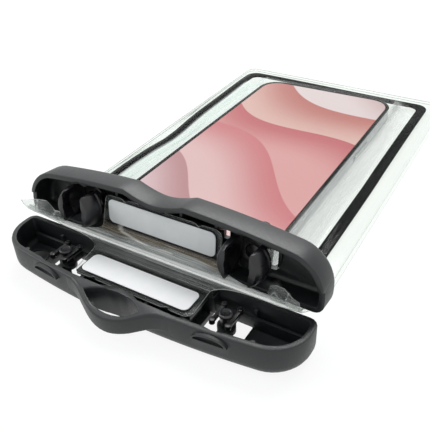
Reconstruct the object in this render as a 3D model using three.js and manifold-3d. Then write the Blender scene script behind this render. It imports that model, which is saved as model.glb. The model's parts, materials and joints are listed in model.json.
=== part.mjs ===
// Waterproof phone pouch: a clear film bag whose mouth is shut by a hinged two-jaw clamp.
// The clamp stands open here, and a plain phone lies in the bag.
// Millimetres, +Z up. X runs along the jaws and +Y towards the bag's closed end. The origin is
// the middle of the lower jaw's flat underside.
import * as THREE from 'three';
import { mergeVertices } from 'three/addons/utils/BufferGeometryUtils.js';
import Module from 'manifold-3d';

const wasm = await Module();
wasm.setup();

// Jaws
const jawLength = 114.6;
const jawDepth = 21.2;
const frontBow = 3.0;
const bowSpan = 45;
const rearCorner = 3;
const frontCorner = 11;
const cornerKeep = 0.45;
const wall = 1.8;
const floorThickness = 2;
const innerFillet = 1.6;
const lowerHeight = 11.5;
const lowerFillet = 4;
const upperHeight = 10.6;
const upperFillet = 2.8;
const rimRound = 0.5;
const dipDepth = 2.8;
const dipHalf = 11.5;
const dipPower = 1.7;
const rimGap = 0.6;
const filmRelief = 1.0;
const reliefDepth = 8;
const hingeSetback = 0.3;
const openAngle = THREE.MathUtils.degToRad(97.3);

// Finger loop on the lower jaw's front wall
const gripX = -2;
const eyeLength = 21.6;
const eyeWidth = 7.6;
const eyeOffset = 1.0;
const loopBar = 2.8;
const loopSpan = 40;
const loopHeight = 6.5;
const loopRound = 1.1;

// Thumb arches on the lower jaw's front wall
const archWidth = 11.6;
const archHeight = 3;
const archRidge = 0.8;
const archStand = 1.0;
const archLift = 0.3;

// Ribs and shelves inside the jaws
const ribThickness = 1;
const rearRibInset = 3;
const shelfHalf = 22.4;
const shelfFrom = 5.2;
const shelfTo = 15.3;
const shelfThickness = 1.6;
const lowerShelfTop = 9.6;
const upperShelfDepth = 2.4;
const shelfRibPitch = 13;
const gapRibTop = 1.4;

// Seal strips
const sealHalf = 24;
const sealFrom = 1.9;
const sealBase = 0.7;
const ledgeMargin = 0.5;
const ridgeCount = 4;
const ridgePitch = 0.8;
const ridgeWidth = 0.4;
const ridgeHeight = 0.8;

// Locks
const lockX = 31.8;
const lockFrom = 10;
const hookRadius = 8.1;
const hookBaseRadius = 5.2;
const hookTipRadius = 7.3;
const hookWall = 1.8;
const hookHalfWidth = 5.6;
const hookOpening = 4;
const hookReach = 5.1;
const hookFlange = 1.4;
const lipHeight = 1.2;
const lipRadius = 4.3;
const grooveDepth = 0.35;
const neckRadius = 4;
const spigotRadius = 2.5;
const thumbLength = 15;
const thumbWidth = 9;
const thumbThickness = 1.4;
const thumbBarLength = 14;
const thumbBarWidth = 3.6;
const thumbBarHeight = 2.4;
const pocketDepth = 1.2;
const bossWall = 0.9;
const pinRadius = 2;
const pinFootRadius = 1.5;
const pinHeadRadius = 2.3;
const pinHeadHeight = 0.9;
const pinDish = 0.25;
const pinChamfer = 0.3;
const pinRing = 0.4;
const pinWingSpread = 2.7;
const pinWingHalf = 3.7;
const pinWingWidth = 1.1;
const pinWingHeight = 1.3;
const pinKnobRadius = 0.95;
const pinKnobRise = 0.4;
const pinPeg = 2.6;
const pinHoleWall = 0.9;
const bridgeWidth = 2.2;
const bridgeHeight = 2.6;
const bridgePlateReach = 3.6;
const bridgePlateFrom = 12.5;
const bridgeRibSpread = 2.2;
const bridgeRibFrom = 15;
const windowLeft = 9;
const windowRight = 5.5;
const windowRear = 2.3;
const windowFront = 14.6;
const guideHeight = 7.4;
const guideDepth = 2.8;
const pegRadius = 0.8;
const pegBeside = 12;
const ringRadius = 4.3;
const ringWidth = 0.7;
const ringInset = 10;

// Slots and brackets inside the upper jaw
const tallSlotFrom = 4.9;
const tallSlotWidth = 2.7;
const tallSlotRear = 5.2;
const tallSlotFront = 12.3;
const smallSlotFrom = 19.5;
const smallSlotWidth = 2.4;
const smallSlotRear = 9.6;
const smallSlotFront = 13.4;
const snapFrom = 6.4;
const snapWidth = 3;
const snapRise = 3;
const snapLipFrom = 15.6;
const snapLipTo = 16.9;
const wallRibPitch = 5.5;
const wallRibWidth = 0.8;
const wallRibDepth = 0.7;
const wallRibRise = 2;

// Film bag
const film = 0.3;
const bagX = -8.3;
const bagWidth = 110;
const bagEnd = 183;
const bagCorner = 5;
const mouthLeft = -60.5;
const mouthRight = 51.5;
const mouthEnd = 16;
const rampEnd = 14.5;
const borderWidth = 104;
const borderStrip = 4.5;
const borderEnd = 178.2;
const borderCorner = 6;
const borderThickness = 0.8;
const borderStart = 16.5;
const tentMargin = 1;
const tentSlope = 8.5;

// Film tabs and white labels at the mouth
const tabHalf = 22.8;
const tabReach = 15.9;
const tabFrom = 5.9;
const labelWidth = 42;
const labelHeight = 8.6;
const labelFrom = 6.4;
const labelCorner = 2;
const flareEnd = 44;
const flareWidth = 0.9;
const leftEarLength = 15;
const rightEarLength = 11;
const earHeight = 6.5;
const earCorner = 2;

// Phone
const phoneX = -5.6;
const phoneFrom = 15.1;
const phoneWidth = 71;
const phoneLength = 147;
const phoneThickness = 7.8;
const phoneCorner = 11;
const phoneEdge = 1.4;
const glassThickness = 0.6;
const glassInset = 0.9;
const bezel = 2.6;
const displayDepth = 0.3;
const keyFrom = 104;
const keyLength = 17;
const keyWidth = 2.6;
const keyStand = 0.5;

// Clearances
const seat = 0.3;
const seam = 0.1;

const rearY = jawDepth / 2;
const upperRim = lowerHeight + rimGap;
const upperTop = upperRim + upperHeight;
const ceiling = upperTop - floorThickness;
const hingeY = rearY + hingeSetback;
const hingeZ = lowerHeight + (rimGap + filmRelief) / 2;
const lockY = rearY - lockFrom;
const upperShelfFace = upperRim + upperShelfDepth;
const lowerLedge = lowerHeight - seat - ridgeHeight - sealBase - seat;
const upperLedge = upperRim + filmRelief + ridgeHeight + sealBase + seat;
const webTop = lowerHeight - hookReach + rimGap - seat - seat;
const hookTip = upperRim - hookReach;
const pocketRadius = thumbLength / 2 + seat;
const phoneZ = film + 2 * seat;
const phoneTop = phoneZ + phoneThickness;

// Helpers

function solid(geometry) {
  const bare = geometry.clone();
  bare.deleteAttribute('normal');
  bare.deleteAttribute('uv');
  const merged = mergeVertices(bare, 1e-4);
  const vertProperties = new Float32Array(merged.attributes.position.array);
  const triVerts = new Uint32Array(merged.index.array);
  return new wasm.Manifold(new wasm.Mesh({ numProp: 3, vertProperties, triVerts }));
}

function joined(solids) {
  return solids.reduce((sum, next) => sum.add(next));
}

function less(body, cuts) {
  return cuts.reduce((rest, cut) => rest.subtract(cut), body);
}

// A box between two corners, given in any order.
function block(x0, x1, y0, y1, z0, z1) {
  const box = new THREE.BoxGeometry(Math.abs(x1 - x0), Math.abs(y1 - y0), Math.abs(z1 - z0));
  box.translate((x0 + x1) / 2, (y0 + y1) / 2, (z0 + z1) / 2);
  return solid(box);
}

function prism(points, z0, z1) {
  const run = new THREE.ExtrudeGeometry(new THREE.Shape(points), { depth: z1 - z0, bevelEnabled: false });
  run.translate(0, 0, z0);
  return solid(run);
}

function alongX(points, x0, x1) {
  const run = new THREE.ExtrudeGeometry(new THREE.Shape(points), { depth: x1 - x0, bevelEnabled: false });
  run.rotateY(Math.PI / 2);
  run.rotateX(Math.PI / 2);
  run.translate(x0, 0, 0);
  return solid(run);
}

function revolved(profile, x, y, segments = 32) {
  const turn = new THREE.LatheGeometry(profile.map(([r, z]) => new THREE.Vector2(r, z)), segments);
  turn.rotateX(Math.PI / 2);
  turn.translate(x, y, 0);
  return solid(turn);
}

function disc(radius, x, y, z0, z1, segments = 32) {
  return revolved([[0, z0], [radius, z0], [radius, z1], [0, z1]], x, y, segments);
}

// Closed skin through outlines of one point count, given from the lowest to the highest.
function loft(sections) {
  const count = sections[0].points.length;
  const positions = sections.flatMap(({ points, z }) => points.flatMap((p) => [p.x, p.y, z]));
  const cap = THREE.ShapeUtils.triangulateShape(sections[0].points, []);
  const last = (sections.length - 1) * count;
  const index = cap.flatMap(([a, b, c]) => [a, c, b]);
  for (let level = 0; level < sections.length - 1; level += 1) {
    for (let i = 0; i < count; i += 1) {
      const a = level * count + i;
      const b = level * count + ((i + 1) % count);
      index.push(a, b, b + count, a, b + count, a + count);
    }
  }
  index.push(...cap.flatMap(([a, b, c]) => [last + a, last + b, last + c]));
  const skin = new THREE.BufferGeometry();
  skin.setAttribute('position', new THREE.Float32BufferAttribute(positions, 3));
  skin.setIndex(index);
  return solid(skin);
}

// Points of an arc, both ends included, its angles in quarter turns.
function arc(x, y, radius, from, to, steps) {
  return Array.from({ length: steps + 1 }, (_, i) => {
    const turn = (from + ((to - from) * i) / steps) * (Math.PI / 2);
    return new THREE.Vector2(x + radius * Math.cos(turn), y + radius * Math.sin(turn));
  });
}

function roundedRectangle(x0, x1, y0, y1, radius, steps = 6) {
  return [
    ...arc(x1 - radius, y0 + radius, radius, -1, 0, steps),
    ...arc(x1 - radius, y1 - radius, radius, 0, 1, steps),
    ...arc(x0 + radius, y1 - radius, radius, 1, 2, steps),
    ...arc(x0 + radius, y0 + radius, radius, 2, 3, steps),
  ];
}

function smooth(t) {
  const s = THREE.MathUtils.clamp(t, 0, 1);
  return s * s * (3 - 2 * s);
}

// A row of numbers from one to the other in equal steps, both included.
function spread(from, to, steps) {
  return Array.from({ length: steps + 1 }, (_, i) => from + ((to - from) * i) / steps);
}

// One half wave of a cosine, 1 in the middle and 0 past half the span.
function swell(x, span) {
  const s = THREE.MathUtils.clamp(Math.abs(x) / (span / 2), 0, 1);
  return (1 + Math.cos(Math.PI * s)) / 2;
}

// Jaw outline

// The dip is a shallow bowl with a kink at each end, where it meets the straight edge.
function frontEdge(x, inset, dip) {
  const bowl = 1 - (Math.min(Math.abs(x - gripX), dipHalf) / dipHalf) ** dipPower;
  return -jawDepth / 2 + inset + frontBow * (x / bowSpan) ** 2 + dip * bowl;
}

// Half of the outline's front corner, which eases from the bowed front into the straight end.
function cornerCurve(bowEnd, bowY, slope, right, radius, keep) {
  const cornerY = bowY + slope * radius;
  const curve = new THREE.CubicBezierCurve(
    new THREE.Vector2(bowEnd, bowY),
    new THREE.Vector2(right - keep * radius, cornerY - keep * slope * radius),
    new THREE.Vector2(right, cornerY + keep * radius),
    new THREE.Vector2(right, cornerY + radius),
  );
  return curve.getPoints(9).slice(1);
}

function jawOutline(inset, dip) {
  const right = jawLength / 2 - inset;
  const rear = rearY - inset;
  const rearRadius = Math.max(rearCorner - inset, 0.5);
  const frontRadius = frontCorner - inset;
  const bowEnd = right - frontRadius;
  const slope = (2 * frontBow * bowEnd) / bowSpan ** 2;
  const front = [
    ...spread(-bowEnd, gripX - dipHalf, 9),
    ...spread(gripX - dipHalf, gripX + dipHalf, 12).slice(1, -1),
    ...spread(gripX + dipHalf, bowEnd, 9),
  ].map((x) => new THREE.Vector2(x, frontEdge(x, inset, dip)));
  const corner = cornerCurve(bowEnd, front.at(-1).y, slope, right, frontRadius, cornerKeep);
  const mirrored = corner.map((p) => new THREE.Vector2(-p.x, p.y)).reverse();
  return [
    ...front,
    ...corner,
    ...arc(right - rearRadius, rear - rearRadius, rearRadius, 0, 1, 4),
    ...arc(-right + rearRadius, rear - rearRadius, rearRadius, 1, 2, 4),
    ...mirrored,
  ];
}

// Insets and heights of a rounded edge, measured up from its flat face.
function rounding(radius, steps) {
  return Array.from({ length: steps + 1 }, (_, i) => {
    const turn = (i / steps) * (Math.PI / 2);
    return { inset: radius * (1 - Math.sin(turn)), rise: radius * (1 - Math.cos(turn)) };
  });
}

// A tray standing on its rounded face; an upside-down one hangs from it.
function tray(face, rim, inset, dip, edge, lip) {
  const sign = Math.sign(rim - face);
  const rounded = rounding(edge, 5).map(({ inset: cut, rise }) => ({ z: face + sign * rise, cut }));
  const rimLevels = rounding(lip, 2).reverse().map(({ inset: cut, rise }) => ({ z: rim - sign * rise, cut }));
  const levels = lip > 0 ? [...rounded, ...rimLevels] : [...rounded, { z: rim, cut: 0 }];
  const sections = levels.map(({ z, cut }) => ({ points: jawOutline(inset + cut, dip), z }));
  return loft(sign > 0 ? sections : sections.reverse());
}

// Finger loop

function lens(grow) {
  const half = eyeLength / 2 + grow;
  const sag = eyeWidth / 2 + grow;
  const radius = (half ** 2 + sag ** 2) / (2 * sag);
  const sweep = Math.asin(half / radius);
  const centreY = -jawDepth / 2 - eyeOffset;
  const rise = radius - sag;
  const reach = sweep / (Math.PI / 2);
  return [
    ...arc(gripX, centreY + rise, radius, -1 - reach, -1 + reach, 10).slice(0, -1),
    ...arc(gripX, centreY - rise, radius, 1 - reach, 1 + reach, 10).slice(0, -1),
  ];
}

function loopOutline(inset) {
  const reach = eyeOffset + eyeWidth / 2 + loopBar;
  const left = gripX - loopSpan / 2;
  const right = gripX + loopSpan / 2;
  const points = spread(left, right, 24).map(
    (x) => new THREE.Vector2(x, frontEdge(x, inset, 0) - reach * swell(x - gripX, loopSpan)),
  );
  const back = frontEdge(loopSpan / 2, wall, 0);
  return [...points, new THREE.Vector2(right, back), new THREE.Vector2(left, back)];
}

function fingerLoop() {
  const bottom = rounding(loopRound, 4).map(({ inset, rise }) => ({
    points: loopOutline(inset), z: lowerHeight - loopHeight + rise,
  }));
  const top = rounding(loopRound, 4).reverse().map(({ inset, rise }) => ({
    points: loopOutline(inset), z: lowerHeight - rise,
  }));
  return loft([...bottom, ...top]);
}

function eyeCut() {
  const mouth = rounding(rimRound, 3).reverse().map(({ inset, rise }) => ({
    points: lens(inset), z: lowerHeight - rise,
  }));
  return loft([{ points: lens(0), z: -1 }, ...mouth, { points: lens(rimRound), z: lowerHeight + 1 }]);
}

// Thumb arch: a flat arch-shaped ridge with a shallow hollow under it.
function thumbArch(x) {
  const half = archWidth / 2;
  const top = lowerHeight - rimRound;
  const foot = top - archHeight;
  const archPoints = (halfWidth, height, lift) => arc(0, 0, 1, 0, 2, 14).map(
    (p) => new THREE.Vector2(p.x * halfWidth, foot + lift + p.y * height),
  );
  const inner = archHeight - archRidge - archLift;
  const extrude = (points) => new THREE.ExtrudeGeometry(
    new THREE.Shape(points), { depth: 1, bevelEnabled: false },
  );
  const ridge = extrude(archPoints(half, archHeight, 0));
  const scoop = extrude(archPoints(half - archRidge, inner, archLift));
  const turn = Math.atan((2 * frontBow * x) / bowSpan ** 2);
  const place = (geometry, depth, stand) => {
    geometry.scale(1, 1, depth);
    geometry.rotateX(Math.PI / 2);
    geometry.rotateZ(turn);
    geometry.translate(x, frontEdge(x, 0, 0) - stand + depth, 0);
    return solid(geometry);
  };
  return place(ridge, archStand + 1, archStand).subtract(place(scoop, archStand, archStand + 0.4));
}

// Shelf for a film tab, with the ribs that carry it.
function shelf(face, floor, frontReach) {
  const sign = Math.sign(face - floor);
  const back = face - sign * shelfThickness;
  const pieces = [block(-shelfHalf, shelfHalf, rearY - shelfTo, rearY - shelfFrom, face, back)];
  for (let x = -1.5 * shelfRibPitch; x <= 1.5 * shelfRibPitch; x += shelfRibPitch) {
    const edge = face - sign * gapRibTop;
    pieces.push(block(
      x - ribThickness / 2, x + ribThickness / 2, frontReach, rearY - wall / 2, edge, floor,
    ));
  }
  return joined(pieces);
}

// Ledge along the rear wall, which carries a seal strip.
function sealLedge(z0, z1) {
  const half = sealHalf + ledgeMargin;
  return block(-half, half, rearY - shelfFrom + seat, rearY - wall / 2, z0, z1);
}

// Room that a turning hook needs, as a cut into the walls beside it.
function swingPocket(x, z0, z1) {
  return disc(hookRadius + seat, x, lockY, z0, z1, 28);
}

// Lower jaw

// The window under a lock reaches further to its left than to its right.
function lockWindow(x) {
  const top = floorThickness + 1;
  return block(x - windowLeft, x + windowRight, rearY - windowFront, rearY - windowRear, -1, top);
}

// Bridge over the window, which carries the pin, with a plate across it and two ribs in front.
function lockBracket(x) {
  const half = bridgeWidth / 2;
  const front = frontEdge(x, wall / 2, 0);
  const plateY = rearY - bridgePlateFrom;
  const guideFoot = rearY - guideDepth;
  const ribs = [-1, 1].map((side) => {
    const at = x + side * bridgeRibSpread;
    return block(at - ribThickness / 2, at + ribThickness / 2, front, rearY - bridgeRibFrom, 1, webTop);
  });
  return joined([
    block(x - half, x + half, front, rearY - rearRibInset, webTop - bridgeHeight, webTop),
    disc(pinRadius + pinHoleWall, x, lockY, webTop - bridgeHeight, webTop, 20),
    block(x - half, x + bridgePlateReach, plateY - ribThickness, plateY, floorThickness, webTop),
    block(x + windowRight, x + windowRight + ribThickness, guideFoot, rearY - wall / 2, 1, 1 + guideHeight),
    block(x - windowLeft - ribThickness, x - windowLeft, guideFoot, rearY - wall / 2, 1, 1 + guideHeight),
    ...ribs,
  ]);
}

// Small peg against the front wall.
function wallPeg(x) {
  const y = frontEdge(x, wall + pegRadius / 2, 0);
  return disc(pegRadius, x, y, 1, lowerHeight - rimRound, 12);
}

// Low ring that a gate mark leaves on the floor.
function mouldingRing(x, y) {
  const top = floorThickness + 0.4;
  const inner = ringRadius - ringWidth;
  return revolved([[inner, 1], [ringRadius, 1], [ringRadius, top], [inner, top], [inner, 1]], x, y, 20);
}

function lowerJaw() {
  const body = tray(0, lowerHeight, 0, 0, lowerFillet, rimRound);
  const cavity = tray(floorThickness, lowerHeight + 1, wall, 0, innerFillet, 0);
  const behindEye = loft([{ points: lens(wall), z: 0 }, { points: lens(wall), z: lowerHeight - rimRound }]);
  const inside = jawLength / 2 - wall - 2;
  const fittings = joined([
    block(-inside, inside, rearY - rearRibInset - ribThickness, rearY - rearRibInset, 1, webTop),
    sealLedge(1, lowerLedge),
    shelf(lowerShelfTop, 1, frontEdge(0, wall / 2, 0)),
    lockBracket(-lockX),
    lockBracket(lockX),
    mouldingRing(-jawLength / 2 + ringInset, 0),
    wallPeg(-lockX - pegBeside),
    wallPeg(lockX + pegBeside),
  ]);
  const shell = joined([
    body.subtract(cavity),
    behindEye.intersect(body),
    fittings.intersect(body),
    fingerLoop(),
    thumbArch(-lockX),
    thumbArch(lockX),
  ]);
  const lockCuts = [-lockX, lockX].flatMap((x) => [
    lockWindow(x),
    swingPocket(x, hookTip - seat, lowerHeight + 1),
    disc(pinFootRadius + seat, x, lockY, webTop - bridgeHeight - 1, webTop + 1),
  ]);
  return less(shell, [eyeCut(), ...lockCuts]);
}

// Lock pin: a headed post on the bridge, whose two barred wings hold the hook's lips.
function lockPin(x) {
  const wingTop = lowerHeight - seat - pinHeadHeight;
  const wingFoot = wingTop - pinWingHeight;
  const headTop = wingTop + pinHeadHeight;
  const half = pinWingWidth / 2;
  const crown = pinHeadRadius - pinChamfer;
  const bars = [-1, 1].flatMap((side) => {
    const at = x + side * pinWingSpread;
    return [
      block(at - half, at + half, lockY - pinWingHalf, lockY + pinWingHalf, wingFoot, wingTop),
      disc(pinKnobRadius, at, lockY - pinWingHalf, wingFoot, wingTop + pinKnobRise, 10),
      disc(pinKnobRadius, at, lockY + pinWingHalf, wingFoot, wingTop + pinKnobRise, 10),
    ];
  });
  const post = revolved([
    [0, webTop - pinPeg], [pinFootRadius, webTop - pinPeg], [pinFootRadius, webTop + seat],
    [pinRadius, webTop + seat], [pinRadius, wingTop], [pinHeadRadius, wingTop],
    [pinHeadRadius, headTop - pinChamfer], [crown, headTop], [crown - pinRing, headTop],
    [crown - pinRing - 0.2, headTop - pinDish], [0, headTop - pinDish],
  ], x, lockY);
  const across = block(x - pinWingSpread, x + pinWingSpread, lockY - half, lockY + half, wingFoot, wingTop);
  return joined([post, across, ...bars]);
}

// Upper jaw, drawn shut over the lower one

function ceilingBoss(x) {
  return disc(pocketRadius + bossWall, x, lockY, ceiling - pocketDepth, ceiling + 1);
}

function snapBracket(side) {
  const near = side * (lockX + snapFrom);
  const far = near + side * snapWidth;
  const depth = upperRim + snapRise;
  const front = frontEdge(Math.abs(near), wall / 2, 0);
  return joined([
    block(near, far, front, rearY - snapLipTo, depth, ceiling + 1),
    block(near, far, rearY - snapLipTo, rearY - snapLipFrom, depth, depth + 1),
  ]);
}

function wallRibs(x) {
  const half = wallRibWidth / 2;
  return [-1, 0, 1].map((step) => {
    const at = x + step * wallRibPitch;
    const outer = frontEdge(at, wall / 2, 0);
    const inner = outer + wall / 2 + wallRibDepth;
    return block(at - half, at + half, outer, inner, upperRim + wallRibRise, ceiling + 1);
  });
}

// Through slots in the top: a tall one outside each lock, and a small one inside it.
function topSlots(side) {
  const tall = side * (lockX + tallSlotFrom);
  const small = side * smallSlotFrom;
  const foot = ceiling - pocketDepth - 1;
  const slot = (from, width, front, rear) => block(
    from, from + side * width, rearY - front, rearY - rear, foot, upperTop + 1,
  );
  return [
    slot(tall, tallSlotWidth, tallSlotFront, tallSlotRear),
    slot(small, smallSlotWidth, smallSlotFront, smallSlotRear),
  ];
}

function upperJaw() {
  const body = tray(upperTop, upperRim, 0, dipDepth, upperFillet, rimRound);
  const cavity = tray(ceiling, upperRim - 1, wall, dipDepth, innerFillet, 0);
  const fittings = joined([
    sealLedge(upperLedge, ceiling + 1),
    shelf(upperShelfFace, ceiling + 1, frontEdge(0, wall / 2, dipDepth)),
    ceilingBoss(-lockX),
    ceilingBoss(lockX),
    snapBracket(-1),
    snapBracket(1),
    ...wallRibs(-lockX),
    ...wallRibs(lockX),
  ]);
  const shell = body.subtract(cavity).add(fittings.intersect(body));
  const reliefBack = rearY - reliefDepth;
  const relief = block(
    -jawLength, jawLength, reliefBack, jawDepth, upperRim - 1, upperRim + filmRelief,
  );
  const slots = [-1, 1].flatMap(topSlots);
  const lockCuts = [-lockX, lockX].flatMap((x) => [
    disc(pocketRadius, x, lockY, upperTop - pocketDepth, upperTop + 1),
    disc(neckRadius + seat, x, lockY, ceiling - pocketDepth - 1, upperTop),
    swingPocket(x, upperRim - 1, ceiling - pocketDepth),
  ]);
  return less(shell, [relief, ...slots, ...lockCuts]);
}

// Turn lock: a hook of two bulged staves inside and a long thumb knob outside, on one neck.

function lockHook(x) {
  const flangeTop = ceiling - pocketDepth - seat;
  const flangeFoot = flangeTop - hookFlange;
  const neckTop = upperTop - pocketDepth - seat;
  const waist = (flangeFoot + hookTip) / 2;
  const bore = spigotRadius + seat;
  const inside = [
    [bore, neckTop], [bore, flangeFoot], [hookBaseRadius - hookWall, flangeFoot],
    [hookRadius - hookWall, waist], [hookTipRadius - hookWall + 0.4, hookTip + lipHeight],
    [lipRadius, hookTip + lipHeight], [lipRadius, hookTip],
  ];
  const groove = [
    [hookRadius, waist - 0.5], [hookRadius - grooveDepth, waist], [hookRadius, waist + 0.5],
  ];
  const outside = [
    [hookTipRadius - 0.9, hookTip], [hookTipRadius, hookTip + lipHeight], [hookRadius - 0.15, waist - 1.4],
    ...groove,
    [hookRadius - 0.2, waist + 1.8], [hookBaseRadius + 0.5, flangeFoot - 0.8], [hookBaseRadius, flangeFoot],
    [hookBaseRadius, flangeTop], [neckRadius, flangeTop], [neckRadius, neckTop], [bore, neckTop],
  ];
  const cup = revolved([...inside, ...outside], x, lockY, 28);
  const wide = hookRadius + 1;
  const staves = [-1, 1].map((side) => block(
    x + side * hookOpening, x + side * wide, lockY - hookHalfWidth, lockY + hookHalfWidth,
    hookTip - 1, flangeFoot + 0.1,
  ));
  const top = block(x - wide, x + wide, lockY - wide, lockY + wide, flangeFoot, neckTop + 1);
  return cup.intersect(joined([top, ...staves]));
}

function lockKnob(x) {
  const foot = upperTop - pocketDepth + seat;
  const top = foot + thumbThickness;
  const shape = (width, length) => roundedRectangle(
    x - width / 2, x + width / 2, lockY - length / 2, lockY + length / 2, width / 2 - 0.1,
  );
  const edge = 0.4;
  const plate = loft([
    { points: shape(thumbWidth, thumbLength), z: foot },
    { points: shape(thumbWidth, thumbLength), z: top - edge },
    { points: shape(thumbWidth - 2 * edge, thumbLength - 2 * edge), z: top },
  ]);
  const spigot = disc(spigotRadius, x, lockY, ceiling - pocketDepth - seat - hookFlange, foot + 0.5);
  const bar = prism(shape(thumbBarWidth, thumbBarLength), top - 0.5, top + thumbBarHeight);
  return joined([plate, spigot, bar]);
}

// Seal strip: a comb profile along the jaw, its ridges facing the film.
function sealStrip(foot, sign) {
  const points = [];
  const start = rearY - sealFrom;
  const end = start - (ridgeCount - 1) * ridgePitch - ridgeWidth;
  const base = foot + sign * sealBase;
  points.push(new THREE.Vector2(start, foot));
  for (let i = 0; i < ridgeCount; i += 1) {
    const y = start - i * ridgePitch;
    points.push(new THREE.Vector2(y, base), new THREE.Vector2(y - 0.1, base + sign * ridgeHeight));
    points.push(new THREE.Vector2(y - ridgeWidth + 0.1, base + sign * ridgeHeight));
    points.push(new THREE.Vector2(y - ridgeWidth, base));
  }
  points.push(new THREE.Vector2(end, foot));
  return alongX(points, -sealHalf, sealHalf);
}

// Film sheets

// A side profile given a thickness square to its run.
function thickened(profile, thickness) {
  const path = profile.map(([y, z]) => new THREE.Vector2(y, z));
  const offset = path.map((point, i) => {
    const before = path[Math.max(i - 1, 0)];
    const after = path[Math.min(i + 1, path.length - 1)];
    const inward = point.clone().sub(i > 0 ? before : point).normalize();
    const outward = after.clone().sub(i < path.length - 1 ? point : after).normalize();
    const run = inward.add(outward).normalize();
    const cosine = i > 0 && i < path.length - 1 ? run.dot(after.clone().sub(point).normalize()) : 1;
    return new THREE.Vector2(point.x - (run.y * thickness) / cosine, point.y + (run.x * thickness) / cosine);
  });
  return [...path, ...offset.reverse()];
}

function bottomFilmHeight(y) {
  const from = rearY + 1.5;
  const to = rearY + rampEnd;
  const crest = lowerHeight - seat;
  return crest * (1 - THREE.MathUtils.clamp((y - from) / (to - from), 0, 1));
}

// Plan of a mouth film: the tab, its flares and the band over the rear rims.
function mouthPlan(bandEdge) {
  const flare = [
    [tabHalf, tabReach], [tabHalf, tabFrom - 0.4], [tabHalf + 2.4, 3.9], [tabHalf + 5.6, 1.9],
    [flareEnd, flareWidth],
  ];
  const right = flare.map(([x, from]) => new THREE.Vector2(x, rearY - from));
  const left = flare.map(([x, from]) => new THREE.Vector2(-x, rearY - from)).reverse();
  return [
    ...right,
    new THREE.Vector2(mouthRight, rearY - flareWidth),
    new THREE.Vector2(mouthRight, bandEdge),
    new THREE.Vector2(mouthLeft, bandEdge),
    new THREE.Vector2(mouthLeft, rearY - flareWidth),
    ...left,
  ];
}

function bagPlan(fromY) {
  const half = bagWidth / 2;
  const end = rearY + bagEnd;
  return [
    new THREE.Vector2(mouthLeft, fromY),
    new THREE.Vector2(mouthRight, fromY),
    new THREE.Vector2(bagX + half, rearY + mouthEnd),
    ...arc(bagX + half - bagCorner, end - bagCorner, bagCorner, 0, 1, 6),
    ...arc(bagX - half + bagCorner, end - bagCorner, bagCorner, 1, 2, 6),
    new THREE.Vector2(bagX - half, rearY + mouthEnd),
  ];
}

function bottomFilm() {
  const tabZ = lowerShelfTop + seat;
  const overRim = lowerHeight + seat;
  const profile = [
    [rearY - tabReach - 1, tabZ], [rearY - tabFrom, tabZ], [rearY - tabFrom + 0.8, lowerHeight],
    [rearY - wall, overRim], [rearY + 0.3, overRim], [rearY + 1.5, lowerHeight - seat],
    [rearY + rampEnd, 0], [rearY + bagEnd + 1, 0],
  ];
  const reach = bagWidth;
  const sheet = alongX(thickened(profile, film), -reach, reach);
  const mouth = prism(mouthPlan(rearY + 0.5), -1, lowerHeight + 2);
  return sheet.intersect(mouth.add(prism(bagPlan(rearY + 0.4), -1, lowerHeight + 2)));
}

// A sheet whose height over a grid is a function of x and y.
function heightSheet(xs, ys, height, thickness) {
  const positions = [];
  for (const lift of [0, thickness]) {
    for (const y of ys) {
      for (const x of xs) {
        positions.push(x, y, height(x, y) + lift);
      }
    }
  }
  const columns = xs.length;
  const layer = columns * ys.length;
  const index = [];
  const quad = (a, b, c, d) => index.push(a, b, c, a, c, d);
  for (let j = 0; j < ys.length - 1; j += 1) {
    for (let i = 0; i < columns - 1; i += 1) {
      const a = j * columns + i;
      quad(a, a + columns, a + columns + 1, a + 1);
      quad(layer + a, layer + a + 1, layer + a + columns + 1, layer + a + columns);
    }
  }
  for (let i = 0; i < columns - 1; i += 1) {
    const far = (ys.length - 1) * columns + i;
    quad(i, i + 1, layer + i + 1, layer + i);
    quad(far + 1, far, layer + far, layer + far + 1);
  }
  for (let j = 0; j < ys.length - 1; j += 1) {
    const near = j * columns;
    const right = near + columns - 1;
    quad(near + columns, near, layer + near, layer + near + columns);
    quad(right, right + columns, layer + right + columns, layer + right);
  }
  const skin = new THREE.BufferGeometry();
  skin.setAttribute('position', new THREE.Float32BufferAttribute(positions, 3));
  skin.setIndex(index);
  return solid(skin);
}

function topFilmHeight(x, y) {
  const from = rearY + 1.5;
  const run = THREE.MathUtils.clamp((y - from) / (mouthEnd - 1.5), 0, 1);
  const mouthZ = lowerHeight + seat + 0.05;
  const crown = THREE.MathUtils.lerp(mouthZ, phoneTop + seat, run);
  const lift = THREE.MathUtils.lerp(seat + 0.05, borderThickness + 2 * seat, run);
  const flange = bottomFilmHeight(y) + film + lift;
  const beside = Math.abs(x - phoneX) - phoneWidth / 2;
  const beyond = y - (rearY + phoneFrom + phoneLength);
  const outside = Math.max(beside, beyond);
  const weight = 1 - smooth((outside - tentMargin) / tentSlope);
  return flange + (crown - flange) * weight;
}

function topFilm() {
  const half = phoneWidth / 2;
  const slope = [1, 3, 5.25, 7.5, 9.5];
  const xs = [
    bagX - bagWidth / 2 - 1, ...slope.map((d) => phoneX - half - d).reverse(), phoneX,
    ...slope.map((d) => phoneX + half + d), mouthRight + 1,
  ];
  const far = rearY + phoneFrom + phoneLength;
  const near = [1.5, 4, 7, 10, 13, 16, 25, 60, 110].map((y) => rearY + y);
  const ys = [...near, ...slope.map((d) => far + d), rearY + bagEnd + 1];
  const sheet = heightSheet(xs, ys, topFilmHeight, film);
  return sheet.intersect(prism(bagPlan(rearY + 1.5), -1, lowerHeight + 3));
}

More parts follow.
